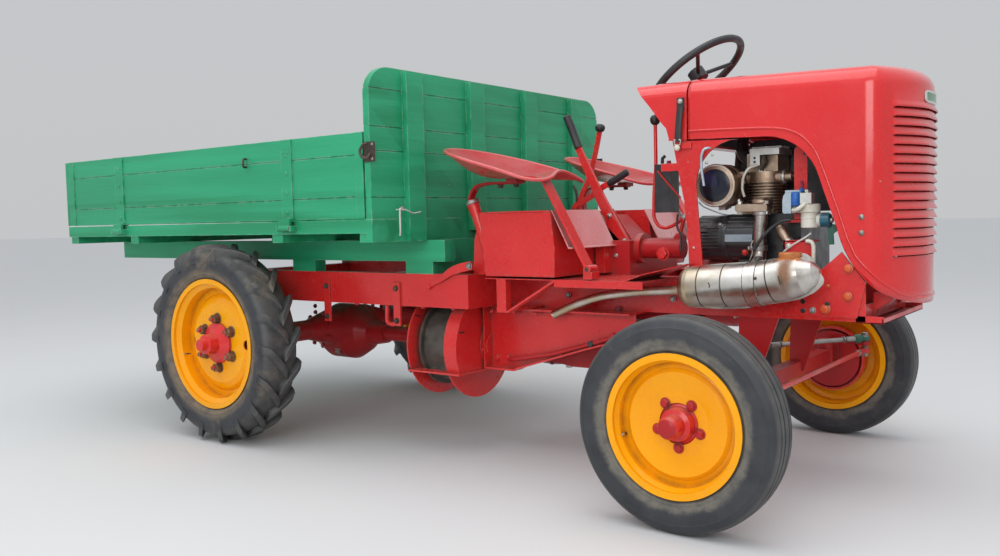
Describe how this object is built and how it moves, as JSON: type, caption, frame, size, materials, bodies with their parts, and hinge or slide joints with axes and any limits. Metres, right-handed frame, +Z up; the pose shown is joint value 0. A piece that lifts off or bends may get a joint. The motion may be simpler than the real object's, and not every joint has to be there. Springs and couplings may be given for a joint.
{
  "type": "load-carrying farm tractor",
  "caption": "Small farm tractor with a drop-side load bed, pan seats, tilting louvred hood over an open engine, side winch and steered front wheels.",
  "frame": {"origin": "middle of the machine's box, on the floor the wheels stand on", "axes": "+X points ahead, +Y to the driver's left, +Z up"},
  "size_m": [3.7492, 1.678, 1.5189],
  "materials": {
    "red_paint": "gloss paint, worn",
    "dark_red_paint": "gloss paint, dusty",
    "green_wood": "painted boards",
    "orange_paint": "gloss paint",
    "rubber": "worn rubber",
    "black_metal": "satin",
    "engine_iron": "bare casting",
    "exhaust_steel": "heat tinted, rusty",
    "grip": "satin"
  },
  "bodies": {
    "chassis": {"front_rails": "red_paint", "rear_rails": "red_paint", "rear_axle": "dark_red_paint", "front_axle": "dark_red_paint", "gearbox": "dark_red_paint", "engine_block": "black_metal", "cylinder": "engine_iron", "air_filter": "engine_iron", "generator": "black_metal", "fuel_system": "engine_iron", "muffler": "exhaust_steel", "platform": "red_paint", "seat_base": "red_paint", "seat_right": "red_paint", "seat_left": "red_paint", "seat_posts": "red_paint", "levers": "red_paint", "dash_posts": "red_paint", "steering_gear": "black_metal", "cowl": "red_paint", "winch_frame": "red_paint", "winch_bracket": "red_paint", "bed_frame": "green_wood", "bed_floor": "green_wood", "headboard": "green_wood"},
    "rear_wheel_right": {"rear_tyre_right": "rubber", "rear_rim_right": "orange_paint", "rear_hub_right": "red_paint"},
    "steering_knuckle_right": {"knuckle_right": "dark_red_paint"},
    "front_wheel_right": {"front_tyre_right": "rubber", "front_rim_right": "orange_paint", "front_hub_right": "red_paint"},
    "rear_wheel_left": {"rear_tyre_left": "rubber", "rear_rim_left": "orange_paint", "rear_hub_left": "red_paint"},
    "steering_knuckle_left": {"knuckle_left": "dark_red_paint"},
    "front_wheel_left": {"front_tyre_left": "rubber", "front_rim_left": "orange_paint", "front_hub_left": "red_paint"},
    "track_rod": {"tie_rod": "red_paint"},
    "steering_link": {"drag_link": "engine_iron"},
    "pitman": {"drop_arm": "dark_red_paint"},
    "hand_wheel": {"steering_wheel": "grip"},
    "drum": {"winch_drum": "engine_iron"},
    "right_side": {"side_right": "green_wood"},
    "left_side": {"side_left": "green_wood"},
    "rear_gate": {"tailgate": "green_wood"},
    "bonnet": {"hood": "red_paint"}
  },
  "joints": [
    {"name": "rear_right_roll", "type": "hinge", "parent": "chassis", "child": "rear_wheel_right", "pos_m": [-0.725, -0.721, 0.413], "axis": [0, 1, 0], "continuous": true},
    {"name": "steer_right", "type": "hinge", "parent": "chassis", "child": "steering_knuckle_right", "pos_m": [1.365, -0.59, 0.333], "axis": [0, 0, 1], "range_deg": [-30, 30]},
    {"name": "front_right_roll", "type": "hinge", "parent": "steering_knuckle_right", "child": "front_wheel_right", "pos_m": [1.365, -0.719, 0.311], "axis": [0, 1, 0], "continuous": true},
    {"name": "rear_left_roll", "type": "hinge", "parent": "chassis", "child": "rear_wheel_left", "pos_m": [-0.725, 0.721, 0.413], "axis": [0, 1, 0], "continuous": true},
    {"name": "steer_left", "type": "hinge", "parent": "chassis", "child": "steering_knuckle_left", "pos_m": [1.365, 0.59, 0.333], "axis": [0, 0, 1], "range_deg": [-30, 30]},
    {"name": "front_left_roll", "type": "hinge", "parent": "steering_knuckle_left", "child": "front_wheel_left", "pos_m": [1.365, 0.719, 0.311], "axis": [0, 1, 0], "continuous": true},
    {"name": "track_rod_swing", "type": "hinge", "parent": "steering_knuckle_right", "child": "track_rod", "pos_m": [1.515, -0.59, 0.362], "axis": [0, 0, 1], "range_deg": [-30, 30]},
    {"name": "steering_link_swing", "type": "hinge", "parent": "steering_knuckle_left", "child": "steering_link", "pos_m": [1.515, 0.59, 0.41], "axis": [0, 0, 1], "range_deg": [-30, 30]},
    {"name": "drop_arm_swing", "type": "hinge", "parent": "chassis", "child": "pitman", "pos_m": [1.095, 0.185, 0.45], "axis": [0, 0, 1], "range_deg": [-30, 30]},
    {"name": "hand_wheel_turn", "type": "hinge", "parent": "chassis", "child": "hand_wheel", "pos_m": [1.097, 0, 1.402], "axis": [-0.5807, 0, 0.8141], "range_deg": [-360, 360]},
    {"name": "drum_turn", "type": "hinge", "parent": "chassis", "child": "drum", "pos_m": [0.22, -0.29, 0.42], "axis": [1, 0, 0], "continuous": true},
    {"name": "right_side_drop", "type": "hinge", "parent": "chassis", "child": "right_side", "pos_m": [-0.8, -0.792, 0.886], "axis": [1, 0, 0], "range_deg": [0, 170]},
    {"name": "left_side_drop", "type": "hinge", "parent": "chassis", "child": "left_side", "pos_m": [-0.8, 0.792, 0.886], "axis": [-1, 0, 0], "range_deg": [0, 170]},
    {"name": "rear_gate_drop", "type": "hinge", "parent": "chassis", "child": "rear_gate", "pos_m": [-1.861, 0, 0.886], "axis": [0, -1, 0], "range_deg": [0, 180]},
    {"name": "bonnet_tilt", "type": "hinge", "parent": "chassis", "child": "bonnet", "pos_m": [1.792, 0, 0.64], "axis": [0, 1, 0], "range_deg": [0, 60]}
  ],
  "couplings": [
    {"joint": "steer_left", "follows": "steer_right", "ratio": 1},
    {"joint": "track_rod_swing", "follows": "steer_right", "ratio": -1},
    {"joint": "steering_link_swing", "follows": "steer_right", "ratio": -1},
    {"joint": "drop_arm_swing", "follows": "steer_right", "ratio": 1},
    {"joint": "hand_wheel_turn", "follows": "steer_right", "ratio": 12}
  ]
}
